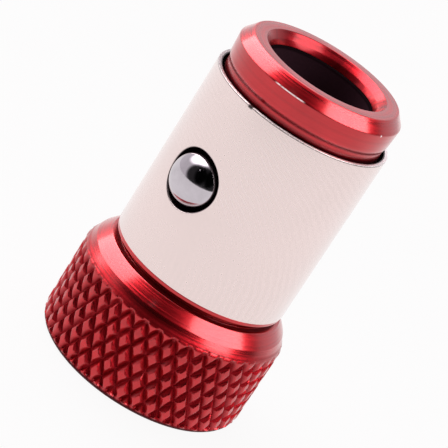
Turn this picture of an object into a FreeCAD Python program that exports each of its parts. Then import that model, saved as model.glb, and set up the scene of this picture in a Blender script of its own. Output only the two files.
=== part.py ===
import FreeCAD, Part
import os

import Sketcher

# A magnetic bit ring: it slips over a quarter-inch hex shank and magnetises the bit.
# A knurled collar holds a ring magnet over a lip. A turned tube is pressed into the collar
# and clamps the magnet, and a black liner in the tube makes the bore. A thin plated sleeve is
# pressed over the tube. A steel ball lies in a radial hole of the tube, between a smaller hole
# in the liner and a larger round window in the sleeve.
#
# Frame: millimetres, origin at the centre of the base, +Z along the bore towards the rim.
# The ball is on the -Y side.

FULL_TURN = 360.0
MIN_VOLUME_CUT = 1e-3

# The tube and the liner stand on the magnet.
TUBE_FOOT = "Sizes.lip_thickness + Sizes.magnet_length"

DIMENSIONS = [
    ("collar_radius", 7.5),
    ("collar_height", 7.75),
    ("base_edge_radius", 7.15),
    ("base_bevel_height", 0.45),
    ("knurl_top_height", 6.05),
    ("shoulder_radius", 7.08),
    ("shoulder_height", 6.9),
    ("nose_radius", 6.35),
    ("lip_thickness", 0.8),
    ("lip_opening_radius", 5.3),
    ("lip_bevel", 0.3),
    ("magnet_radius", 5.8),
    ("magnet_bore_radius", 4.0),
    ("magnet_length", 4.3),
    ("magnet_bevel", 0.15),
    ("bore_radius", 3.75),
    ("groove_radius", 5.6),
    ("groove_width", 0.32),
    ("flange_radius", 6.25),
    ("flange_thickness", 0.38),
    ("sleeve_radius", 6.3),
    ("sleeve_wall", 0.3),
    ("sleeve_length", 12.9),
    ("sleeve_bevel", 0.06),
    ("sleeve_grip_length", 10.6),
    ("relief_radius", 5.3),
    ("relief_length", 2.0),
    ("neck_radius", 5.77),
    ("neck_length", 0.9),
    ("head_radius", 5.9),
    ("head_edge_radius", 5.97),
    ("head_length", 1.53),
    ("rim_bevel_height", 0.77),
    ("rim_face_radius", 5.35),
    ("mouth_radius", 4.42),
    ("mouth_depth", 0.85),
    ("throat_radius", 4.02),
    ("throat_length", 0.4),
    ("liner_radius", 4.3),
    ("liner_bevel", 0.1),
    ("ball_radius", 1.9),
    ("ball_centre_radius", 5.45),
    ("ball_height", 14.95),
    ("window_radius", 2.175),
    ("seat_radius", 2.4),
    ("seat_hole_radius", 1.52),
]

doc = FreeCAD.newDocument("bit_ring")
sheet = doc.addObject("Spreadsheet::Sheet", "Sizes")
for row, (alias, value) in enumerate(DIMENSIONS, start=1):
    sheet.set(f"A{row}", alias)
    sheet.set(f"B{row}", str(value))
    sheet.setAlias(f"B{row}", alias)
doc.recompute()


def size_of(expression):
    """The value in millimetres of an expression over the sheet."""
    return float(sheet.evalExpression(expression))


def origin_plane(body, role):
    """The body's own origin plane of that role."""
    return next(item for item in body.Origin.OriginFeatures if item.Role == role)


def sketch_on_xz(body, name):
    """A sketch whose x is the radius along +X and whose y is the height along +Z."""
    sketch = body.newObject("Sketcher::SketchObject", name)
    sketch.AttachmentSupport = (origin_plane(body, "XZ_Plane"), [""])
    sketch.MapMode = "FlatFace"
    return sketch


def bind(sketch, constraint, name, expression):
    """Add a dimension to the sketch and drive it from the sheet."""
    index = sketch.addConstraint(constraint)
    sketch.renameConstraint(index, name)
    sketch.setExpression(f"Constraints.{name}", expression)


def turned_body(label, outline):
    """A body turned about Z. The outline is a closed list of (radius, height) expressions."""
    body = doc.addObject("PartDesign::Body", label)
    sketch = sketch_on_xz(body, f"{label}_outline")
    points = [FreeCAD.Vector(size_of(radius), size_of(height), 0) for radius, height in outline]
    count = len(points)
    for index, start in enumerate(points):
        sketch.addGeometry(Part.LineSegment(start, points[(index + 1) % count]), False)
    for index in range(count):
        sketch.addConstraint(Sketcher.Constraint("Coincident", index, 2, (index + 1) % count, 1))
    for index, (radius, height) in enumerate(outline):
        across = Sketcher.Constraint("DistanceX", -1, 1, index, 1, points[index].x)
        bind(sketch, across, f"radius_{index}", radius)
        if height == "0":
            sketch.addConstraint(Sketcher.Constraint("PointOnObject", index, 1, -1))
        else:
            up = Sketcher.Constraint("DistanceY", -1, 1, index, 1, points[index].y)
            bind(sketch, up, f"height_{index}", height)
    turned = body.newObject("PartDesign::Revolution", f"{label}_turned")
    turned.Profile = sketch
    turned.ReferenceAxis = (sketch, ["V_Axis"])
    turned.Angle = FULL_TURN
    sketch.Visibility = False
    doc.recompute()
    return body


def radial_hole(body, name, height, radius):
    """Cut a round hole through the wall on the -Y side, at the given height."""
    solid_volume = body.Shape.Volume
    sketch = sketch_on_xz(body, f"{name}_circle")
    centre = FreeCAD.Vector(0, size_of(height), 0)
    sketch.addGeometry(Part.Circle(centre, FreeCAD.Vector(0, 0, 1), size_of(radius)), False)
    sketch.addConstraint(Sketcher.Constraint("PointOnObject", 0, 3, -2))
    up = Sketcher.Constraint("DistanceY", -1, 1, 0, 3, centre.y)
    bind(sketch, up, "centre_height", height)
    bind(sketch, Sketcher.Constraint("Radius", 0, size_of(radius)), "hole_radius", radius)
    pocket = body.newObject("PartDesign::Pocket", name)
    pocket.Profile = sketch
    pocket.Type = "Length"
    pocket.setExpression("Length", "Sizes.collar_radius")
    pocket.Reversed = True
    sketch.Visibility = False
    doc.recompute()
    if solid_volume - body.Shape.Volume < MIN_VOLUME_CUT:
        raise RuntimeError(f"{name} cut nothing")


def knurled_collar():
    """The grip: an open cup with a lip at its base and a turned cone at its top."""
    return turned_body("knurled_collar", [
        ("Sizes.lip_opening_radius + Sizes.lip_bevel", "0"),
        ("Sizes.base_edge_radius", "0"),
        ("Sizes.collar_radius", "Sizes.base_bevel_height"),
        ("Sizes.collar_radius", "Sizes.knurl_top_height"),
        ("Sizes.shoulder_radius", "Sizes.shoulder_height"),
        ("Sizes.nose_radius", "Sizes.collar_height"),
        ("Sizes.magnet_radius", "Sizes.collar_height"),
        ("Sizes.magnet_radius", "Sizes.lip_thickness"),
        ("Sizes.lip_opening_radius", "Sizes.lip_thickness"),
        ("Sizes.lip_opening_radius", "Sizes.lip_bevel"),
    ])


def ring_magnet():
    """The magnetised ring that rests on the collar's lip."""
    body = turned_body("ring_magnet", [
        ("Sizes.magnet_bore_radius + Sizes.magnet_bevel", "0"),
        ("Sizes.magnet_radius - Sizes.magnet_bevel", "0"),
        ("Sizes.magnet_radius", "Sizes.magnet_bevel"),
        ("Sizes.magnet_radius", "Sizes.magnet_length - Sizes.magnet_bevel"),
        ("Sizes.magnet_radius - Sizes.magnet_bevel", "Sizes.magnet_length"),
        ("Sizes.magnet_bore_radius + Sizes.magnet_bevel", "Sizes.magnet_length"),
        ("Sizes.magnet_bore_radius", "Sizes.magnet_length - Sizes.magnet_bevel"),
        ("Sizes.magnet_bore_radius", "Sizes.magnet_bevel"),
    ])
    body.setExpression("Placement.Base.z", "Sizes.lip_thickness")
    return body


def inner_tube():
    """The core, from its spigot in the collar to the bevelled rim, with the ball's hole."""
    spigot = f"Sizes.collar_height - ({TUBE_FOOT})"
    groove = f"{spigot} + Sizes.groove_width"
    flange = f"{groove} + Sizes.flange_thickness"
    grip = f"{flange} + Sizes.sleeve_grip_length"
    relief = f"{grip} + Sizes.relief_length"
    neck = f"{relief} + Sizes.neck_length"
    head = f"{neck} + Sizes.head_length"
    rim = f"{head} + Sizes.rim_bevel_height"
    body = turned_body("inner_tube", [
        ("Sizes.liner_radius", "0"),
        ("Sizes.magnet_radius", "0"),
        ("Sizes.magnet_radius", spigot),
        ("Sizes.groove_radius", spigot),
        ("Sizes.groove_radius", groove),
        ("Sizes.flange_radius", groove),
        ("Sizes.flange_radius", flange),
        ("Sizes.sleeve_radius - Sizes.sleeve_wall", flange),
        ("Sizes.sleeve_radius - Sizes.sleeve_wall", grip),
        ("Sizes.relief_radius", grip),
        ("Sizes.relief_radius", relief),
        ("Sizes.neck_radius", relief),
        ("Sizes.neck_radius", neck),
        ("Sizes.head_radius", neck),
        ("Sizes.head_edge_radius", head),
        ("Sizes.rim_face_radius", rim),
        ("Sizes.mouth_radius", rim),
        ("Sizes.throat_radius", f"{rim} - Sizes.mouth_depth + Sizes.throat_length"),
        ("Sizes.bore_radius + Sizes.liner_bevel", f"{rim} - Sizes.mouth_depth"),
        ("Sizes.liner_radius", f"{rim} - Sizes.mouth_depth"),
    ])
    radial_hole(body, "seat", f"Sizes.ball_height - ({TUBE_FOOT})", "Sizes.seat_radius")
    body.setExpression("Placement.Base.z", TUBE_FOOT)
    return body


def bore_liner():
    """The black lining of the bore, with the small hole that keeps the ball out of the bore."""
    length = (
        f"Sizes.collar_height - ({TUBE_FOOT}) + Sizes.groove_width + Sizes.flange_thickness"
        " + Sizes.sleeve_grip_length + Sizes.relief_length + Sizes.neck_length"
        " + Sizes.head_length + Sizes.rim_bevel_height - Sizes.mouth_depth"
    )
    body = turned_body("bore_liner", [
        ("Sizes.bore_radius + Sizes.liner_bevel", "0"),
        ("Sizes.liner_radius", "0"),
        ("Sizes.liner_radius", length),
        ("Sizes.bore_radius + Sizes.liner_bevel", length),
        ("Sizes.bore_radius", f"{length} - Sizes.liner_bevel"),
        ("Sizes.bore_radius", "Sizes.liner_bevel"),
    ])
    hole_height = f"Sizes.ball_height - ({TUBE_FOOT})"
    radial_hole(body, "seat_hole", hole_height, "Sizes.seat_hole_radius")
    body.setExpression("Placement.Base.z", TUBE_FOOT)
    return body


def outer_sleeve():
    """The thin plated sleeve on the flange, with the ball's round window."""
    foot = "Sizes.collar_height + Sizes.groove_width + Sizes.flange_thickness"
    inside = "Sizes.sleeve_radius - Sizes.sleeve_wall"
    body = turned_body("outer_sleeve", [
        (inside, "0"),
        ("Sizes.sleeve_radius - Sizes.sleeve_bevel", "0"),
        ("Sizes.sleeve_radius", "Sizes.sleeve_bevel"),
        ("Sizes.sleeve_radius", "Sizes.sleeve_length - Sizes.sleeve_bevel"),
        ("Sizes.sleeve_radius - Sizes.sleeve_bevel", "Sizes.sleeve_length"),
        (inside, "Sizes.sleeve_length"),
    ])
    radial_hole(body, "window", f"Sizes.ball_height - ({foot})", "Sizes.window_radius")
    body.setExpression("Placement.Base.z", foot)
    return body


def detent_ball():
    """The steel ball, resting on the rim of the liner's small hole."""
    ball = doc.addObject("Part::Sphere", "detent_ball")
    ball.setExpression("Radius", "Sizes.ball_radius")
    ball.setExpression("Placement.Base.y", "-Sizes.ball_centre_radius")
    ball.setExpression("Placement.Base.z", "Sizes.ball_height")
    return ball


pieces = [
    knurled_collar(),
    ring_magnet(),
    inner_tube(),
    bore_liner(),
    outer_sleeve(),
    detent_ball(),
]
doc.recompute()

for item in doc.Objects:
    if "Invalid" in item.State or "Error" in item.State:
        raise RuntimeError(f"{item.Name} failed: {item.State}")
for piece in pieces:
    if piece.Shape.isNull() or not piece.Shape.isValid():
        raise RuntimeError(f"{piece.Label} has no valid shape")
    if len(piece.Shape.Solids) != 1:
        raise RuntimeError(f"{piece.Label} is not one solid")

os.makedirs("parts", exist_ok=True)
for piece in pieces:
    piece.Shape.exportStep(os.path.join("parts", f"{piece.Label}.step"))
    box = piece.Shape.BoundBox
    print(f"{piece.Label}: {box.XLength:.2f} x {box.YLength:.2f} x {box.ZLength:.2f} mm,"
          f" z {box.ZMin:.2f} to {box.ZMax:.2f}, {piece.Shape.Volume:.1f} mm3")
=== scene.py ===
"""Looks for a magnetic bit ring: red knurled collar, plated sleeve, steel ball, black bore."""

import math

import bmesh
import bpy
from mathutils import Matrix, Vector


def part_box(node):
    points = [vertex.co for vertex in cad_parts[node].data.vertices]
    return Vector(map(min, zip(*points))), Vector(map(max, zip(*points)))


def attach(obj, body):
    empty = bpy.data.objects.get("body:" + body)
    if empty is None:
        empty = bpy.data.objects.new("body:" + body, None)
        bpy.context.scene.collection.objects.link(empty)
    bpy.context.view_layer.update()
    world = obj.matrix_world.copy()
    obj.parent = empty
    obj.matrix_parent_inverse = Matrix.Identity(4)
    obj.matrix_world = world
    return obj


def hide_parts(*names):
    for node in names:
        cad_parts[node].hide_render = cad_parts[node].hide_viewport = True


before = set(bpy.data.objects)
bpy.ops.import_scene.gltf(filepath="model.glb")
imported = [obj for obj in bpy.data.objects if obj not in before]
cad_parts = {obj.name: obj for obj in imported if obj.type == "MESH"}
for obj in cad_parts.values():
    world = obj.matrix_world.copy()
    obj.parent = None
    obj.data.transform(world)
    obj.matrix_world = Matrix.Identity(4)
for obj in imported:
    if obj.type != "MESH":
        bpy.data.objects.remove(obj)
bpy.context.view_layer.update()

MM = 0.001

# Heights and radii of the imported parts, in metres.
COLLAR_LOW, COLLAR_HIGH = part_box("knurled_collar")
MAGNET_LOW, MAGNET_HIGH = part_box("ring_magnet")
TUBE_LOW, TUBE_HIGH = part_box("inner_tube")
LINER_LOW, LINER_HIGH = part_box("bore_liner")
SLEEVE_LOW, SLEEVE_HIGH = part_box("outer_sleeve")
BALL_LOW, BALL_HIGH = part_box("detent_ball")

BALL_RADIUS = (BALL_HIGH.z - BALL_LOW.z) / 2
BALL_CENTRE = (BALL_HIGH + BALL_LOW) / 2
WINDOW_HEIGHT = BALL_CENTRE.z
CREST_RADIUS = COLLAR_HIGH.x
SLEEVE_RADIUS = SLEEVE_HIGH.x
FLANGE_RADIUS = TUBE_HIGH.x
MAGNET_RADIUS = MAGNET_HIGH.x
LINER_RADIUS = LINER_HIGH.x

# Radii and heights that the boxes don't give, as in the CAD model.
COLLAR_BASE_RADIUS = 7.15 * MM
COLLAR_BEVEL_TOP = 0.45 * MM
COLLAR_CREST_TOP = 6.05 * MM
COLLAR_SHOULDER = (7.08 * MM, 6.9 * MM)
COLLAR_NOSE_RADIUS = 6.35 * MM
COLLAR_LIP_RADIUS = 5.3 * MM
COLLAR_LIP_BEVEL = 0.3 * MM
FLANGE_THICKNESS = 0.38 * MM
GRIP_LENGTH = 10.6 * MM
RELIEF_LENGTH = 2.0 * MM
NECK_LENGTH = 0.9 * MM
HEAD_LENGTH = 1.53 * MM
GRIP_RADIUS = 6.0 * MM
RELIEF_RADIUS = 5.3 * MM
GROOVE_RADIUS = 5.6 * MM
NECK_RADIUS = 5.77 * MM
HEAD_RADIUS = 5.9 * MM
HEAD_EDGE_RADIUS = 5.97 * MM
RIM_FACE_RADIUS = 5.35 * MM
MOUTH_RADIUS = 4.42 * MM
THROAT_RADIUS = 4.02 * MM
THROAT_LENGTH = 0.4 * MM
BORE_RADIUS = 3.75 * MM
LINER_BEVEL = 0.1 * MM
MAGNET_BORE_RADIUS = 4.0 * MM
WINDOW_RADIUS = 2.175 * MM
SEAT_RADIUS = 2.4 * MM
SEAT_HOLE_RADIUS = 1.52 * MM

# Turned meshes have this many columns. A square patch round each of the ball's holes, on -Y, has
# its own cells, and closes in on the hole in layers.
COLUMNS = 192
PATCH_CELLS = 40
PATCH_REACH = 2.9 * MM
PATCH_LAYERS = 8
BALL_CUTS = 31

# The knurl: crossed V grooves. Widths are shares of a pitch, and samples are columns per pitch.
KNURL_STARTS = 42
KNURL_SAMPLES = 16
KNURL_ANGLE = math.radians(29.0)
KNURL_DEPTH = 0.3 * MM
KNURL_HALF_WIDTH = 0.3
KNURL_TAPER = 0.05
KNURL_WOBBLE = 0.02
KNURL_LOW = 0.15 * MM
KNURL_HIGH = 6.35 * MM
KNURL_LOW_FADE = 0.35 * MM
KNURL_HIGH_FADE = 0.5 * MM


class Skin:
    """A mesh in the making: rings of vertices joined by bands of faces."""

    def __init__(self, columns=COLUMNS):
        self.columns = columns
        self.vertices = []
        self.faces = []

    def add(self, point):
        self.vertices.append(point)
        return len(self.vertices) - 1

    def angle(self, column):
        return 2 * math.pi * column / self.columns

    def ring(self, radius, height):
        return [self.add(on_cylinder(radius, self.angle(k), height)) for k in range(self.columns)]

    def band(self, first, second):
        """Join two closed loops of the same length."""
        count = len(first)
        for k in range(count):
            n = (k + 1) % count
            self.faces.append((first[k], first[n], second[n], second[k]))

    def bands(self, loops):
        """Join each closed loop to the next."""
        for first, second in zip(loops, loops[1:]):
            self.band(first, second)

    def rings(self, outline):
        """Join the rings of an open outline of (radius, height). Gives the first and the last."""
        loops = [self.ring(radius, height) for radius, height in outline]
        self.bands(loops)
        return loops[0], loops[-1]

    def window(self, radius, height, hole):
        """A cylinder's wall with a round hole on -Y. Gives its low ring, high ring and rim."""
        half = PATCH_CELLS // 2
        last = self.columns - half - 1
        grid = {}
        for row in range(-half, half + 1):
            z = height + PATCH_REACH * row / half
            for column in range(-half, last + 1):
                if abs(column) >= half or abs(row) == half:
                    grid[column, row] = self.add(on_cylinder(radius, self.angle(column), z))
        for row in range(-half, half):
            for column in range(half, last + 1):
                n = column + 1 if column < last else -half
                self.faces.append((grid[column, row], grid[n, row],
                                   grid[n, row + 1], grid[column, row + 1]))
        edge = [square_edge(index, half) for index in range(8 * half)]
        loops = [[grid[place] for place in edge]]
        for layer in range(1, PATCH_LAYERS + 1):
            share = layer / PATCH_LAYERS
            loop = []
            for column, row in edge:
                turn = math.atan2(row, column)
                rim_angle = math.asin(hole * math.cos(turn) / radius)
                angle = (1 - share) * self.angle(column) + share * rim_angle
                rise = (1 - share) * PATCH_REACH * row / half + share * hole * math.sin(turn)
                loop.append(self.add(on_cylinder(radius, angle, height + rise)))
            loops.append(loop)
        self.bands(loops)
        around = [*range(last + 1), *range(-half, 0)]
        low = [grid[column, -half] for column in around]
        high = [grid[column, half] for column in around]
        return low, high, loops[-1]

    def rim(self, radius, height, hole):
        """The loop of a round hole on -Y where it meets a cylinder of that radius."""
        half = PATCH_CELLS // 2
        loop = []
        for index in range(8 * half):
            column, row = square_edge(index, half)
            turn = math.atan2(row, column)
            x = hole * math.cos(turn)
            y = -math.sqrt(radius * radius - x * x)
            loop.append(self.add(Vector((x, y, height + hole * math.sin(turn)))))
        return loop

    def build(self, name, sharp=35.0):
        """Make the object. Edges sharper than that many degrees stay crisp."""
        mesh = bpy.data.meshes.new(name)
        mesh.from_pydata([tuple(v) for v in self.vertices], [], self.faces)
        shell = bmesh.new()
        shell.from_mesh(mesh)
        bmesh.ops.remove_doubles(shell, verts=shell.verts, dist=1e-8)
        bmesh.ops.recalc_face_normals(shell, faces=shell.faces)
        shell.to_mesh(mesh)
        shell.free()
        mesh.shade_smooth()
        mesh.set_sharp_from_angle(angle=math.radians(sharp))
        piece = bpy.data.objects.new(name, mesh)
        bpy.context.scene.collection.objects.link(piece)
        return piece


def on_cylinder(radius, angle, height):
    """A point on a cylinder round Z. Angle 0 is -Y, and it grows towards +X."""
    return Vector((radius * math.sin(angle), -radius * math.cos(angle), height))


def square_edge(index, half):
    """Step round a square of side 2 * half, from the middle of its +X side, anticlockwise."""
    side, step = divmod(index + half, 2 * half)
    along = step - half
    return ((half, along), (-along, half), (-half, -along), (along, -half))[side % 4]


def soften(outline, radius, closed=True, steps=4):
    """Round the corners of an outline of (radius, height) with short curves."""
    count = len(outline)
    smooth = []
    for index, corner in enumerate(outline):
        if not closed and index in (0, count - 1):
            smooth.append(corner)
            continue
        here = Vector(corner)
        before = Vector(outline[index - 1])
        after = Vector(outline[(index + 1) % count])
        reach = min(radius, 0.45 * (before - here).length, 0.45 * (after - here).length)
        start = here + (before - here).normalized() * reach
        end = here + (after - here).normalized() * reach
        for step in range(steps + 1):
            t = step / steps
            point = (1 - t) ** 2 * start + 2 * t * (1 - t) * here + t * t * end
            smooth.append((point.x, point.y))
    return smooth


def swept_step(low, high, steps=8):
    """Points of a smooth S from one (radius, height) to another."""
    points = []
    for step in range(steps + 1):
        share = step / steps
        swell = (1 - math.cos(math.pi * share)) / 2
        points.append((low[0] + (high[0] - low[0]) * swell, low[1] + (high[1] - low[1]) * share))
    return points


# Materials

def new_material(name):
    """An empty material with one shader. Gives both."""
    material = bpy.data.materials.new(name)
    material.use_nodes = True
    nodes = material.node_tree.nodes
    nodes.clear()
    output = nodes.new("ShaderNodeOutputMaterial")
    shader = nodes.new("ShaderNodeBsdfPrincipled")
    material.node_tree.links.new(shader.outputs["BSDF"], output.inputs["Surface"])
    return material, shader


class Graph:
    """Short ways to add nodes to a material or a world."""

    def __init__(self, tree):
        self.nodes = tree.nodes
        self.links = tree.links
        self.place = self.nodes.new("ShaderNodeTexCoord")

    def put(self, value, socket):
        if isinstance(value, bpy.types.NodeSocket):
            self.links.new(value, socket)
        else:
            socket.default_value = value

    def maths(self, operation, first, second=0.0, third=0.0):
        node = self.nodes.new("ShaderNodeMath")
        node.operation = operation
        for value, socket in zip((first, second, third), node.inputs):
            self.put(value, socket)
        return node.outputs[0]

    def axes(self):
        split = self.nodes.new("ShaderNodeSeparateXYZ")
        self.links.new(self.place.outputs["Object"], split.inputs[0])
        return split.outputs

    def radius(self):
        """Distance from the turned parts' axis."""
        x, y = self.axes()[:2]
        return self.maths("SQRT", self.maths("ADD", self.maths("MULTIPLY", x, x),
                                             self.maths("MULTIPLY", y, y)))

    def height(self):
        return self.axes()[2]

    def angle(self):
        """Angle round the axis, 0 on -Y and growing towards +X."""
        x, y = self.axes()[:2]
        return self.maths("ARCTAN2", x, self.maths("MULTIPLY", y, -1.0))

    def noise(self, scale, detail=2.0, roughness=0.5, distortion=0.0, along=None):
        """Noise in the object's space, or along one value."""
        node = self.nodes.new("ShaderNodeTexNoise")
        if along is None:
            self.links.new(self.place.outputs["Object"], node.inputs["Vector"])
        else:
            node.noise_dimensions = "1D"
            self.put(along, node.inputs["W"])
        node.inputs["Scale"].default_value = scale
        node.inputs["Detail"].default_value = detail
        node.inputs["Roughness"].default_value = roughness
        node.inputs["Distortion"].default_value = distortion
        return node.outputs["Fac"]

    def span(self, value, low, high, out_low=0.0, out_high=1.0, smooth=False):
        """Map low...high to out_low...out_high, and hold the ends."""
        node = self.nodes.new("ShaderNodeMapRange")
        if smooth:
            node.interpolation_type = "SMOOTHSTEP"
        self.put(value, node.inputs["Value"])
        node.inputs["From Min"].default_value = low
        node.inputs["From Max"].default_value = high
        self.put(out_low, node.inputs["To Min"])
        self.put(out_high, node.inputs["To Max"])
        return node.outputs["Result"]

    def mix(self, share, first, second):
        node = self.nodes.new("ShaderNodeMix")
        node.data_type = "RGBA"
        self.put(share, node.inputs[0])
        self.put(first, node.inputs[6])
        self.put(second, node.inputs[7])
        return node.outputs[2]

    def bump(self, heights, strength):
        """Bump from (height socket, depth in metres) pairs, one on top of the other."""
        normal = None
        for height, depth in heights:
            node = self.nodes.new("ShaderNodeBump")
            node.inputs["Strength"].default_value = strength
            node.inputs["Distance"].default_value = depth
            self.links.new(height, node.inputs["Height"])
            if normal is not None:
                self.links.new(normal, node.inputs["Normal"])
            normal = node.outputs["Normal"]
        return normal

    def turning(self, per_metre):
        """A value that changes only along a turned profile, so it draws lathe lines."""
        along = self.maths("MULTIPLY_ADD", self.radius(), -2.6, self.height())
        return self.noise(1.0, detail=1.0, along=self.maths("MULTIPLY", along, per_metre))

    def near(self, value, centre, reach, soft):
        """1 within reach of centre, falling to 0 over soft."""
        away = self.maths("ABSOLUTE", self.maths("SUBTRACT", value, centre))
        return self.span(away, reach, reach + soft, 1.0, 0.0)

    def between(self, value, low, high, soft):
        """1 from low to high, falling to 0 over soft on both sides."""
        return self.near(value, (low + high) / 2, (high - low) / 2, soft)

    def times(self, first, *others):
        """The product of all the values."""
        for other in others:
            first = self.maths("MULTIPLY", first, other)
        return first

    def without(self, value, mask):
        """The value, brought to 0 where the mask is 1."""
        return self.maths("MULTIPLY", value, self.maths("SUBTRACT", 1.0, mask))


# Colours are linear. Sides are angles round the axis, 0 on -Y and growing towards +X.
RED_LOW = (0.48, 0.008, 0.014, 1.0)
RED_HIGH = (0.58, 0.014, 0.022, 1.0)
RED_LINE = (0.30, 0.005, 0.009, 1.0)
# RED_DEEP is painted shade down the knurl's grooves and on one side of the mouth, and the colour of
# the mouth's chatter lines. RED_GAP is painted shade in gaps.
RED_DEEP = (0.26, 0.007, 0.012, 1.0)
RED_GAP = (0.08, 0.004, 0.008, 1.0)
BARE_METAL = (0.88, 0.76, 0.76, 1.0)
LATHE_LINES = 2600.0
BROAD_LINES = 1300.0
LINE_DEPTH = 0.03 * MM
# The side of the mouth with painted shade.
SHADED_MOUTH_SIDE = math.radians(-111.0)

SLEEVE_LIGHT = (0.85, 0.70, 0.68, 1.0)
SLEEVE_DARK = (0.80, 0.66, 0.64, 1.0)
MAGNET_LIGHT = (0.76, 0.74, 0.71, 1.0)
MAGNET_DARK = (0.66, 0.64, 0.62, 1.0)
# The sleeve's top face: a painted highlight, and painted shade on one side of it.
LIT_TOP_PLATE = (0.86, 0.80, 0.80, 1.0)
SHADED_TOP_PLATE = (0.34, 0.30, 0.30, 1.0)
# Painted shade on the sleeve.
SLEEVE_GAP = (0.012, 0.004, 0.005, 1.0)
# The side of the sleeve's top face with painted shade.
SHADED_TOP_SIDE = math.radians(-75.0)
CHIP_SIDE = math.radians(8.0)
CHIP_REACH = math.radians(1.1)
SWIRL_CENTRE = (-2.8 * MM, -5.7 * MM, 9.0 * MM)

STEEL_LIGHT = (0.59, 0.54, 0.58, 1.0)
STEEL_DARK = (0.52, 0.475, 0.51, 1.0)
LINER_LIGHT = (0.027, 0.011, 0.016, 1.0)
LINER_DARK = (0.017, 0.007, 0.010, 1.0)
# Painted shade at the liner's top edge.
LINER_EDGE_SHADE = (0.001, 0.001, 0.001, 1.0)
FLOOR_LIGHT = (0.045, 0.045, 0.045, 1.0)
FLOOR_DARK = (0.035, 0.035, 0.035, 1.0)
FLOOR_GLOW = (1.0, 0.995, 0.995, 1.0)


def knurl_masks(graph):
    """1 over the knurl's height, and painted shade: the share of the way down its grooves."""
    level = graph.between(graph.height(), KNURL_LOW + 0.05 * MM, KNURL_HIGH, 0.2 * MM)
    down = graph.span(graph.radius(), CREST_RADIUS - 0.85 * KNURL_DEPTH,
                      CREST_RADIUS - 0.02 * MM, 0.95, 0.0)
    return level, graph.times(level, down)


def nick_mask(graph, nicks):
    """1 on bright nicks, each given as (angle, height, half length, half width)."""
    ragged = graph.span(graph.noise(1700.0, detail=4.0, roughness=0.7), 0.34, 0.42)
    mask = 0.0
    for angle, height, half_length, half_width in nicks:
        across = graph.near(graph.height(), height, half_width, half_width)
        along = graph.near(graph.angle(), angle, half_length, 0.3 * half_length)
        mask = graph.maths("MAXIMUM", mask, graph.times(across, along, ragged))
    return mask


def gap_mask(graph, gaps):
    """Shade in gaps, each given as (low, high, radius, softness, darkness).

    The metal between those heights and inside that radius is dark.
    """
    mask = 0.0
    for low, high, radius, soft, dark in gaps:
        level = graph.between(graph.height(), low, high, soft)
        inside = graph.span(graph.radius(), radius - 0.03 * MM, radius, dark, 0.0)
        mask = graph.maths("MAXIMUM", mask, graph.times(level, inside))
    return mask


def mouth_chatter_and_shade(graph, mouth):
    """Chatter lines, and painted shade on one side of the flared mouth."""
    along = graph.maths("MULTIPLY", graph.angle(), 7.0)
    chatter = graph.span(graph.noise(1.0, detail=3.0, along=along), 0.38, 0.62, 0.0, 0.9)
    shaded_side = graph.near(graph.angle(), SHADED_MOUTH_SIDE, math.radians(18.0), math.radians(45.0))
    return graph.times(mouth, graph.maths("MAXIMUM", chatter, shaded_side))


def anodised(name, gaps, gloss_from, nicks=(), knurled=False):
    """Red anodised aluminium with lathe lines.

    The clear gloss is full above the height gloss_from. Knurled metal has painted shade down its
    grooves, and the mouth has painted shade on one side.
    """
    material, shader = new_material(name)
    graph = Graph(material.node_tree)
    fine = graph.turning(LATHE_LINES)
    relief = [(graph.noise(9000.0, detail=2.0), 0.002 * MM)]
    groove_shade = 0.0
    if knurled:
        level, groove_shade = knurl_masks(graph)
        relief.append((graph.times(level, graph.noise(2600.0, detail=3.0)), 0.02 * MM))
    nick = nick_mask(graph, nicks)
    shade = gap_mask(graph, gaps)
    mouth = graph.span(graph.radius(), MOUTH_RADIUS, MOUTH_RADIUS + 0.05 * MM, 1.0, 0.0)

    cloud = graph.span(graph.noise(420.0, detail=3.0), 0.3, 0.7)
    colour = graph.mix(cloud, RED_LOW, RED_HIGH)
    # Lathe lines, bright nicks, painted shade down the grooves and in the gaps, then the mouth's
    # chatter lines with painted shade on one side.
    tints = [
        (graph.span(fine, 0.4, 0.65, 0.0, 0.25), RED_LINE),
        (nick, BARE_METAL),
        (groove_shade, RED_DEEP),
        (shade, RED_GAP),
        (mouth_chatter_and_shade(graph, mouth), RED_DEEP),
    ]
    for mask, tint in tints:
        colour = graph.mix(mask, colour, tint)
    graph.put(colour, shader.inputs["Base Color"])

    roughness = graph.span(graph.turning(BROAD_LINES), 0.3, 0.7, 0.26, 0.38)
    roughness = graph.maths("MAXIMUM", roughness, graph.maths("MULTIPLY", nick, 0.9))
    roughness = graph.maths("MULTIPLY_ADD", groove_shade, 0.2, roughness)
    roughness = graph.maths("MULTIPLY_ADD", shade, 0.3, roughness)
    graph.put(roughness, shader.inputs["Roughness"])

    gloss = graph.span(graph.height(), gloss_from - 0.08 * MM, gloss_from, 0.8, 0.9)
    for mask in (shade, groove_shade, graph.maths("MULTIPLY", mouth, 0.65)):
        gloss = graph.without(gloss, mask)
    graph.put(gloss, shader.inputs["Coat Weight"])
    shader.inputs["Metallic"].default_value = 1.0
    shader.inputs["Coat Roughness"].default_value = 0.16
    shader.inputs["Coat IOR"].default_value = 1.55
    relief.insert(0, (graph.without(fine, shade), LINE_DEPTH))
    graph.put(graph.bump(relief, 0.6), shader.inputs["Normal"])
    return material


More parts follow.
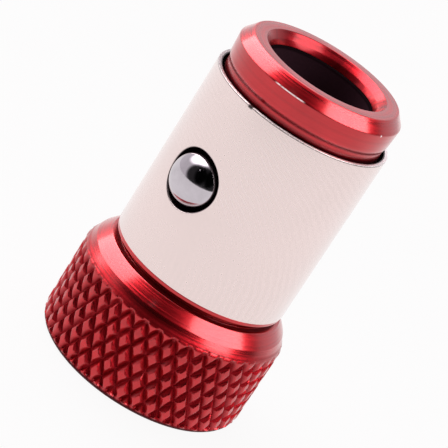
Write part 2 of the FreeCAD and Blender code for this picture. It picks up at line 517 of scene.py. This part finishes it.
def swirls(graph):
    """Faint brushed arcs round SWIRL_CENTRE, in patches, over cloud and grain."""
    offset = graph.nodes.new("ShaderNodeVectorMath")
    offset.operation = "SUBTRACT"
    graph.links.new(graph.place.outputs["Object"], offset.inputs[0])
    offset.inputs[1].default_value = SWIRL_CENTRE
    swirl = graph.nodes.new("ShaderNodeTexWave")
    swirl.wave_type = "RINGS"
    swirl.rings_direction = "SPHERICAL"
    graph.links.new(offset.outputs[0], swirl.inputs["Vector"])
    for socket, value in (("Scale", 900.0), ("Distortion", 7.0), ("Detail", 3.0),
                          ("Detail Scale", 0.4), ("Detail Roughness", 0.6)):
        swirl.inputs[socket].default_value = value
    patch = graph.span(graph.noise(110.0, detail=1.0), 0.4, 0.6, 0.05, 0.34)
    arcs = graph.times(graph.maths("SUBTRACT", swirl.outputs["Fac"], 0.5), patch)
    cloud = graph.noise(170.0, detail=3.0, distortion=0.6)
    grain = graph.maths("MULTIPLY", graph.noise(3200.0, detail=2.0), 0.3)
    return graph.span(graph.maths("ADD", arcs, graph.maths("MULTIPLY_ADD", cloud, 0.7, grain)),
                      0.3, 0.7)


def sleeve_shade(graph):
    """Painted shade on the sleeve: its inside, the window's edge, a line below the rim and a chip in
    the rim.
    """
    z = graph.height()
    radius = graph.radius()
    inside = graph.span(radius, SLEEVE_RADIUS - 0.22 * MM, SLEEVE_RADIUS - 0.2 * MM, 1.0, 0.0)
    edge = graph.span(radius, SLEEVE_RADIUS - 0.05 * MM, SLEEVE_RADIUS - 0.003 * MM, 0.85, 0.0)
    edge = graph.times(edge, graph.near(z, WINDOW_HEIGHT, PATCH_REACH, MM))
    line = graph.near(z, SLEEVE_HIGH.z - 0.055 * MM, 0.03 * MM, 0.01 * MM)
    chip = graph.times(graph.near(graph.angle(), CHIP_SIDE, CHIP_REACH, CHIP_REACH),
                       graph.span(z, SLEEVE_HIGH.z - 0.2 * MM, SLEEVE_HIGH.z - 0.12 * MM))
    shade = graph.maths("MAXIMUM", inside, edge)
    shade = graph.maths("MAXIMUM", shade, graph.maths("MULTIPLY", line, 0.6))
    return graph.maths("MAXIMUM", shade, graph.maths("MULTIPLY", chip, 0.97))


def nickel(name, light, dark, roughness, sleeve=False):
    """Satin nickel plate with faint swirls.

    A sleeve's top face has a painted highlight, with painted shade on one side, and its inside and
    edges have painted shade.
    """
    material, shader = new_material(name)
    graph = Graph(material.node_tree)
    blend = swirls(graph)
    colour = graph.mix(blend, dark, light)
    matt = graph.span(blend, 0.0, 1.0, roughness - 0.04, roughness + 0.04)
    if sleeve:
        top = graph.span(graph.height(), SLEEVE_HIGH.z - 0.02 * MM, SLEEVE_HIGH.z - 0.01 * MM)
        shaded_top = graph.near(graph.angle(), SHADED_TOP_SIDE, math.radians(50.0), math.radians(30.0))
        colour = graph.mix(top, colour, graph.mix(shaded_top, LIT_TOP_PLATE, SHADED_TOP_PLATE))
        colour = graph.mix(sleeve_shade(graph), colour, SLEEVE_GAP)
        matt = graph.maths("MULTIPLY_ADD", top, 0.35, matt)
    graph.put(colour, shader.inputs["Base Color"])
    graph.put(matt, shader.inputs["Roughness"])
    shader.inputs["Metallic"].default_value = 1.0
    shader.inputs["Coat Weight"].default_value = 0.7
    shader.inputs["Coat Roughness"].default_value = 0.2
    return material


def polished_steel(name):
    """Bearing steel with a few fine scuffs."""
    material, shader = new_material(name)
    graph = Graph(material.node_tree)
    cloud = graph.span(graph.noise(900.0, detail=3.0), 0.35, 0.65)
    scuff = graph.noise(2600.0, detail=5.0, roughness=0.7, distortion=3.0)
    graph.put(graph.mix(cloud, STEEL_DARK, STEEL_LIGHT), shader.inputs["Base Color"])
    shader.inputs["Metallic"].default_value = 1.0
    graph.put(graph.span(scuff, 0.35, 0.75, 0.05, 0.16), shader.inputs["Roughness"])
    graph.put(graph.bump([(scuff, 0.001 * MM)], 0.25), shader.inputs["Normal"])
    return material


def black_liner(name):
    """Matt black moulding with a fine grain, and painted shade that makes it blackest at its top
    edge.
    """
    material, shader = new_material(name)
    graph = Graph(material.node_tree)
    grain = graph.noise(5200.0, detail=3.0)
    colour = graph.mix(grain, LINER_DARK, LINER_LIGHT)
    edge = graph.span(graph.height(), LINER_HIGH.z - 0.25 * MM, LINER_HIGH.z - 0.1 * MM, 0.0, 0.8)
    graph.put(graph.mix(edge, colour, LINER_EDGE_SHADE), shader.inputs["Base Color"])
    graph.put(graph.span(grain, 0.3, 0.7, 0.55, 0.75), shader.inputs["Roughness"])
    shader.inputs["Specular IOR Level"].default_value = 0.0
    graph.put(graph.bump([(grain, 0.01 * MM)], 0.4), shader.inputs["Normal"])
    return material


def pale_floor(name):
    """A light table: nearly white, with only a trace of contact shade."""
    material, shader = new_material(name)
    graph = Graph(material.node_tree)
    cloud = graph.noise(30.0, detail=2.0)
    graph.put(graph.mix(cloud, FLOOR_DARK, FLOOR_LIGHT), shader.inputs["Base Color"])
    shader.inputs["Roughness"].default_value = 0.9
    shader.inputs["Specular IOR Level"].default_value = 0.0
    shader.inputs["Emission Color"].default_value = FLOOR_GLOW
    shader.inputs["Emission Strength"].default_value = 0.94
    return material


# Pieces

def pierced_tube(skin, foot, top, outer, inner, edge):
    """A tube with a round window through its walls. Gives the window's outer and inner rims.

    foot is the outline of its low end, from the inner wall to the outer, and top that of its high
    end, from the outer wall to the inner. outer and inner are each wall's (radius, window radius).
    edge is the rounding of the corners.
    """
    below = WINDOW_HEIGHT - PATCH_REACH
    above = WINDOW_HEIGHT + PATCH_REACH
    foot = soften([(inner[0], below), *foot, (outer[0], below)], edge, closed=False)
    top = soften([(outer[0], above), *top, (inner[0], above)], edge, closed=False)
    inner_low, outer_low = skin.rings(foot)
    outer_high, inner_high = skin.rings(top)
    rims = []
    for wall, foot_ring, top_ring in ((outer, outer_low, outer_high), (inner, inner_low, inner_high)):
        low, high, rim = skin.window(wall[0], WINDOW_HEIGHT, wall[1])
        skin.band(foot_ring, low)
        skin.band(high, top_ring)
        rims.append(rim)
    return rims


def finish_piece(piece, body, node, material):
    """Give the piece its material and its place in the assembly."""
    piece.data.materials.append(material)
    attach(piece, body)
    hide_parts(node)
    return piece


def groove_depth(around, along):
    """Depth of the crossed grooves at a place counted in pitches around and along.

    Both hands wander a little, so that the diamonds are not all alike.
    """
    turn = 2 * math.pi * around / KNURL_STARTS
    right = (around + along + KNURL_WOBBLE * math.sin(13 * turn + 1.7 * along)) % 1.0
    left = (around - along + KNURL_WOBBLE * math.sin(11 * turn - 2.3 * along)) % 1.0
    right = min(right, 1.0 - right)
    left = min(left, 1.0 - left)
    deepest = 0.0
    for off, other in ((right, left), (left, right)):
        half_width = KNURL_HALF_WIDTH - KNURL_TAPER * other
        deepest = max(deepest, 1.0 - off / half_width)
    return KNURL_DEPTH * deepest


def groove_fade(z):
    """1 where the grooves are full, falling to 0 at both ends of the knurl."""
    low = min(1.0, max(0.0, (z - KNURL_LOW) / KNURL_LOW_FADE))
    high = min(1.0, max(0.0, (KNURL_HIGH - z) / KNURL_HIGH_FADE))
    return low * high


def collar_radius(z):
    """The plain turned radius that the knurl is rolled into."""
    if z < COLLAR_BEVEL_TOP:
        rise = (z / COLLAR_BEVEL_TOP) ** 0.75
        return COLLAR_BASE_RADIUS + (CREST_RADIUS - COLLAR_BASE_RADIUS) * rise
    if z > COLLAR_CREST_TOP:
        radius, top = COLLAR_SHOULDER
        share = min(1.0, (z - COLLAR_CREST_TOP) / (top - COLLAR_CREST_TOP))
        return CREST_RADIUS + (radius - CREST_RADIUS) * share
    return CREST_RADIUS


def knurled_band(skin):
    """The collar's grooved side. Gives its low and high loops as (height, loop)."""
    pitch = 2 * math.pi * CREST_RADIUS / KNURL_STARTS
    row_step = pitch / math.tan(KNURL_ANGLE) / KNURL_SAMPLES
    rows = []
    for row in range(1, int(COLLAR_SHOULDER[1] / row_step) + 1):
        z = row * row_step
        loop = []
        for column in range(skin.columns):
            depth = groove_depth(column / KNURL_SAMPLES, row / KNURL_SAMPLES) * groove_fade(z)
            radius = min(collar_radius(z), CREST_RADIUS - depth)
            loop.append(skin.add(on_cylinder(radius, skin.angle(column), z)))
        rows.append((z, loop))

    def radius_at(vertex):
        return skin.vertices[vertex].to_2d().length

    for (_, low), (_, high) in zip(rows, rows[1:]):
        for k in range(skin.columns):
            n = (k + 1) % skin.columns
            rising = abs(radius_at(low[k]) - radius_at(high[n]))
            falling = abs(radius_at(low[n]) - radius_at(high[k]))
            if rising <= falling:
                skin.faces += [(low[k], low[n], high[n]), (low[k], high[n], high[k])]
            else:
                skin.faces += [(low[k], low[n], high[k]), (low[n], high[n], high[k])]
    return rows[0], rows[-1]


def knurled_collar():
    """The collar, with real grooves that run out on its two bevels."""
    skin = Skin(KNURL_STARTS * KNURL_SAMPLES)
    top = COLLAR_HIGH.z
    (low_z, low_loop), (high_z, high_loop) = knurled_band(skin)
    outline = soften([
        (collar_radius(high_z), high_z),
        COLLAR_SHOULDER,
        (COLLAR_NOSE_RADIUS, top),
        (MAGNET_RADIUS, top),
        (MAGNET_RADIUS, MAGNET_LOW.z),
        (COLLAR_LIP_RADIUS, MAGNET_LOW.z),
        (COLLAR_LIP_RADIUS, COLLAR_LIP_BEVEL),
        (COLLAR_LIP_RADIUS + COLLAR_LIP_BEVEL, 0.0),
        (COLLAR_BASE_RADIUS, 0.0),
        (collar_radius(low_z), low_z),
    ], 0.05 * MM, closed=False)
    first, last = skin.rings(outline)
    skin.band(high_loop, first)
    skin.band(last, low_loop)
    # Painted shade on the top face inside the nose and along the foot.
    face_gap = (top - 0.03 * MM, top + 0.03 * MM, COLLAR_NOSE_RADIUS - 0.2 * MM, 0.03 * MM, 0.5)
    foot_gap = (-0.1 * MM, 0.25 * MM, CREST_RADIUS + MM, 0.15 * MM, 1.0)
    finish = anodised("red_collar", [face_gap, foot_gap], COLLAR_SHOULDER[1], knurled=True)
    return finish_piece(skin.build("collar_grip", sharp=28.0), "ring",
                        "knurled_collar", finish)


def inner_tube():
    """The red core: groove, flange, neck, bevelled rim and mouth, with the ball's hole."""
    skin = Skin()
    spigot_top = COLLAR_HIGH.z
    flange_top = SLEEVE_LOW.z
    flange_low = flange_top - FLANGE_THICKNESS
    grip_top = flange_top + GRIP_LENGTH
    relief_top = grip_top + RELIEF_LENGTH
    neck_top = relief_top + NECK_LENGTH
    head_top = neck_top + HEAD_LENGTH
    rim_top = TUBE_HIGH.z
    throat_low = LINER_HIGH.z
    edge = 0.05 * MM
    foot = [
        (LINER_RADIUS, TUBE_LOW.z),
        (MAGNET_RADIUS, TUBE_LOW.z),
        (MAGNET_RADIUS, spigot_top),
        (GROOVE_RADIUS, spigot_top),
        (GROOVE_RADIUS, flange_low),
        (FLANGE_RADIUS - 0.16 * MM, flange_low),
        (FLANGE_RADIUS, flange_low + 0.14 * MM),
        (FLANGE_RADIUS, flange_top),
        (GRIP_RADIUS, flange_top),
    ]
    top = [
        (GRIP_RADIUS, grip_top),
        (RELIEF_RADIUS, grip_top),
        (RELIEF_RADIUS, relief_top),
        (NECK_RADIUS - 0.1 * MM, relief_top),
        (NECK_RADIUS, relief_top + 0.15 * MM),
        *swept_step((NECK_RADIUS, neck_top - 0.2 * MM), (HEAD_RADIUS, neck_top + 0.3 * MM)),
        (HEAD_EDGE_RADIUS, head_top),
        (RIM_FACE_RADIUS, rim_top),
        (MOUTH_RADIUS, rim_top),
        (THROAT_RADIUS, throat_low + THROAT_LENGTH),
        (BORE_RADIUS + LINER_BEVEL, throat_low),
        (LINER_RADIUS, throat_low),
    ]
    outer_rim, inner_rim = pierced_tube(skin, foot, top, (GRIP_RADIUS, SEAT_RADIUS + edge),
                                        (LINER_RADIUS, SEAT_RADIUS), edge)
    skin.bands([outer_rim, skin.rim(GRIP_RADIUS - edge, WINDOW_HEIGHT, SEAT_RADIUS), inner_rim])
    front_nick = (math.radians(22.3), head_top + 0.01 * MM, math.radians(9.0), 0.025 * MM)
    side_nick = (math.radians(92.0), head_top - 0.03 * MM, math.radians(0.5), 0.04 * MM)
    hidden_low = WINDOW_HEIGHT - SEAT_RADIUS - MM
    # Painted shade in the open groove, behind the sleeve, below the head and down the neck.
    open_groove = (spigot_top, flange_low, FLANGE_RADIUS - 0.06 * MM, 0.03 * MM, 0.35)
    behind_sleeve = (hidden_low, relief_top + 0.3 * MM, FLANGE_RADIUS, 0.03 * MM, 1.0)
    below_head = (neck_top - 0.06 * MM, neck_top, FLANGE_RADIUS, 0.14 * MM, 0.7)
    low_neck = (relief_top + 0.2 * MM, neck_top - 0.4 * MM, FLANGE_RADIUS, 0.2 * MM, 0.4)
    finish = anodised("red_tube_finish", [open_groove, behind_sleeve, below_head, low_neck], 0.0,
                      [front_nick, side_nick])
    return finish_piece(skin.build("red_tube"), "ring", "inner_tube", finish)


def bore_liner():
    """The black lining of the bore, with the small hole behind the ball."""
    skin = Skin()
    foot = [
        (BORE_RADIUS, LINER_LOW.z + LINER_BEVEL),
        (BORE_RADIUS + LINER_BEVEL, LINER_LOW.z),
        (LINER_RADIUS, LINER_LOW.z),
    ]
    top = [
        (LINER_RADIUS, LINER_HIGH.z),
        (BORE_RADIUS + LINER_BEVEL, LINER_HIGH.z),
        (BORE_RADIUS, LINER_HIGH.z - LINER_BEVEL),
    ]
    rims = pierced_tube(skin, foot, top, (LINER_RADIUS, SEAT_HOLE_RADIUS),
                        (BORE_RADIUS, SEAT_HOLE_RADIUS), 0.04 * MM)
    skin.bands(rims)
    return finish_piece(skin.build("black_bore"), "ring", "bore_liner",
                        black_liner("black_moulding"))


def outer_sleeve():
    """The thin plated sleeve, with rolled edges and the round window."""
    skin = Skin()
    roll = 0.12 * MM
    roll_steps = 5
    foot = [(GRIP_RADIUS, SLEEVE_LOW.z), (SLEEVE_RADIUS, SLEEVE_LOW.z)]
    top = [(SLEEVE_RADIUS, SLEEVE_HIGH.z), (GRIP_RADIUS, SLEEVE_HIGH.z)]
    outer_rim, inner_rim = pierced_tube(skin, foot, top, (SLEEVE_RADIUS, WINDOW_RADIUS),
                                        (GRIP_RADIUS, WINDOW_RADIUS - roll), 0.045 * MM)
    rims = [outer_rim]
    for step in range(1, roll_steps + 1):
        bend = math.pi / 2 * step / roll_steps
        rims.append(skin.rim(SLEEVE_RADIUS - roll * (1 - math.cos(bend)), WINDOW_HEIGHT,
                             WINDOW_RADIUS - roll * math.sin(bend)))
    skin.bands([*rims, inner_rim])
    finish = nickel("sleeve_plate", SLEEVE_LIGHT, SLEEVE_DARK, 0.26, sleeve=True)
    return finish_piece(skin.build("plated_sleeve"), "ring", "outer_sleeve", finish)


def ring_magnet():
    """The plated ring magnet, with its rounded edges."""
    skin = Skin()
    outline = soften([
        (MAGNET_BORE_RADIUS, MAGNET_LOW.z),
        (MAGNET_RADIUS, MAGNET_LOW.z),
        (MAGNET_RADIUS, MAGNET_HIGH.z),
        (MAGNET_BORE_RADIUS, MAGNET_HIGH.z),
    ], 0.2 * MM)
    first, last = skin.rings(outline)
    skin.band(last, first)
    finish = nickel("magnet_plate", MAGNET_LIGHT, MAGNET_DARK, 0.18)
    return finish_piece(skin.build("plated_magnet"), "ring", "ring_magnet", finish)


def detent_ball():
    """The steel ball: a cube's faces, cut fine and pushed out to a sphere."""
    shell = bmesh.new()
    bmesh.ops.create_cube(shell, size=2.0)
    bmesh.ops.subdivide_edges(shell, edges=shell.edges[:], cuts=BALL_CUTS, use_grid_fill=True)
    for vertex in shell.verts:
        warped = Vector([math.tan(c * math.pi / 4) for c in vertex.co])
        vertex.co = BALL_CENTRE + warped.normalized() * BALL_RADIUS
    mesh = bpy.data.meshes.new("steel_ball")
    shell.to_mesh(mesh)
    shell.free()
    mesh.shade_smooth()
    piece = bpy.data.objects.new("steel_ball", mesh)
    bpy.context.scene.collection.objects.link(piece)
    return finish_piece(piece, "ball", "detent_ball", polished_steel("ball_finish"))


# Stage

CAMERA_AZIMUTH = math.radians(34.0)
CAMERA_ELEVATION = math.radians(21.37)
CAMERA_ROLL = math.radians(32.72)
CAMERA_DISTANCE = 151.5 * MM
CAMERA_LENS = 184.8
AIM_ASIDE = -0.232 * MM
AIM_UP = 2.951 * MM
FLOOR_RADIUS = 1.2
FLOOR_DROP = 0.05 * MM


def direction(azimuth, elevation):
    """The direction from the object to a place seen at that azimuth and elevation, in radians."""
    flat = math.cos(elevation)
    return Vector((math.sin(azimuth) * flat, -math.cos(azimuth) * flat, math.sin(elevation)))


def camera():
    """The camera, rolled so that the object's axis leans to the right."""
    towards = direction(CAMERA_AZIMUTH, CAMERA_ELEVATION)
    level_right = Vector((math.cos(CAMERA_AZIMUTH), math.sin(CAMERA_AZIMUTH), 0.0))
    level_up = towards.cross(level_right)
    right = level_right * math.cos(CAMERA_ROLL) + level_up * math.sin(CAMERA_ROLL)
    up = level_up * math.cos(CAMERA_ROLL) - level_right * math.sin(CAMERA_ROLL)
    foot = Vector((0.0, 0.0, SLEEVE_LOW.z))
    aim = foot + level_right * AIM_ASIDE + level_up * AIM_UP
    turn = Matrix((right, up, towards)).transposed().to_4x4()
    eye = bpy.data.objects.new("camera", bpy.data.cameras.new("camera"))
    eye.data.lens = CAMERA_LENS
    eye.data.clip_start = 0.005
    eye.data.clip_end = 10.0
    eye.matrix_world = Matrix.Translation(aim + towards * CAMERA_DISTANCE) @ turn
    bpy.context.scene.collection.objects.link(eye)
    bpy.context.scene.camera = eye


def floor():
    """A round pale floor."""
    shell = bmesh.new()
    bmesh.ops.create_circle(shell, cap_ends=True, segments=96, radius=FLOOR_RADIUS)
    mesh = bpy.data.meshes.new("floor")
    shell.to_mesh(mesh)
    shell.free()
    slab = bpy.data.objects.new("floor", mesh)
    slab.location.z = -FLOOR_DROP
    slab.data.materials.append(pale_floor("light_table"))
    bpy.context.scene.collection.objects.link(slab)
    return slab


# Studio. A place is an azimuth from the camera and an elevation, in degrees.
# GLOW and SPARK are a place, the angles where the patch is full and where it ends, and a strength.
# SHADES are dark cards: a place and the same two angles.
# LAMPS are a name, a place, the angle that the lamp fills, and a strength.
BACKDROP = 0.75
BACKDROP_COLOUR = (1.0, 0.96, 1.0, 1.0)
GLOW = (-128.0, 60.0, 10.0, 38.0, 3.2)
SHADE_DEPTH = 0.96
SHADES = [
    (-22.0, 34.0, 32.0, 48.0),
    (22.0, 40.0, 34.0, 50.0),
    (72.0, 30.0, 34.0, 50.0),
]
SPARK = (-28.3, 54.5, 1.2, 2.6, 1.0)
LAMPS = [
    ("left_lamp", -112.0, 38.0, 60.0, 2.8),
    ("right_lamp", 70.0, 43.0, 52.0, 3.2),
]


def lamps(flagged):
    """Soft round lamps, whose light is kept off the flagged things, as cards would."""
    kept_dark = bpy.data.collections.new("flagged")
    for thing in flagged:
        kept_dark.objects.link(thing)
    for entry in kept_dark.collection_objects:
        entry.light_linking.link_state = "EXCLUDE"
    for name, azimuth, elevation, spread, strength in LAMPS:
        towards = direction(CAMERA_AZIMUTH + math.radians(azimuth), math.radians(elevation))
        lamp = bpy.data.objects.new(name, bpy.data.lights.new(name, "SUN"))
        lamp.data.angle = math.radians(spread)
        lamp.data.energy = strength
        lamp.matrix_world = towards.to_track_quat("Z", "Y").to_matrix().to_4x4()
        lamp.light_linking.receiver_collection = kept_dark
        bpy.context.scene.collection.objects.link(lamp)


def studio():
    """Even white surroundings with a soft glow, three dark cards and a small bright spot."""
    world = bpy.data.worlds.new("studio")
    world.use_nodes = True
    world.node_tree.nodes.clear()
    graph = Graph(world.node_tree)
    output = graph.nodes.new("ShaderNodeOutputWorld")
    background = graph.nodes.new("ShaderNodeBackground")
    graph.links.new(background.outputs[0], output.inputs["Surface"])

    def cap(azimuth, elevation, inner, outer):
        """1 inside a round patch of the surroundings, 0 outside it."""
        towards = direction(CAMERA_AZIMUTH + math.radians(azimuth), math.radians(elevation))
        dot = graph.nodes.new("ShaderNodeVectorMath")
        dot.operation = "DOT_PRODUCT"
        graph.links.new(graph.place.outputs["Generated"], dot.inputs[0])
        dot.inputs[1].default_value = towards
        return graph.span(dot.outputs["Value"], math.cos(math.radians(outer)),
                          math.cos(math.radians(inner)), smooth=True)

    *place, strength = GLOW
    light = graph.maths("MULTIPLY_ADD", cap(*place), strength, BACKDROP)
    for place in SHADES:
        light = graph.without(light, graph.maths("MULTIPLY", cap(*place), SHADE_DEPTH))
    *place, strength = SPARK
    light = graph.maths("MULTIPLY_ADD", cap(*place), strength, light)
    graph.put(light, background.inputs["Strength"])
    background.inputs["Color"].default_value = BACKDROP_COLOUR
    bpy.context.scene.world = world
    bpy.context.scene.view_settings.view_transform = "Standard"


camera()
knurled_collar()
inner_tube()
bore_liner()
outer_sleeve()
ring_magnet()
lamps([detent_ball(), floor()])
studio()
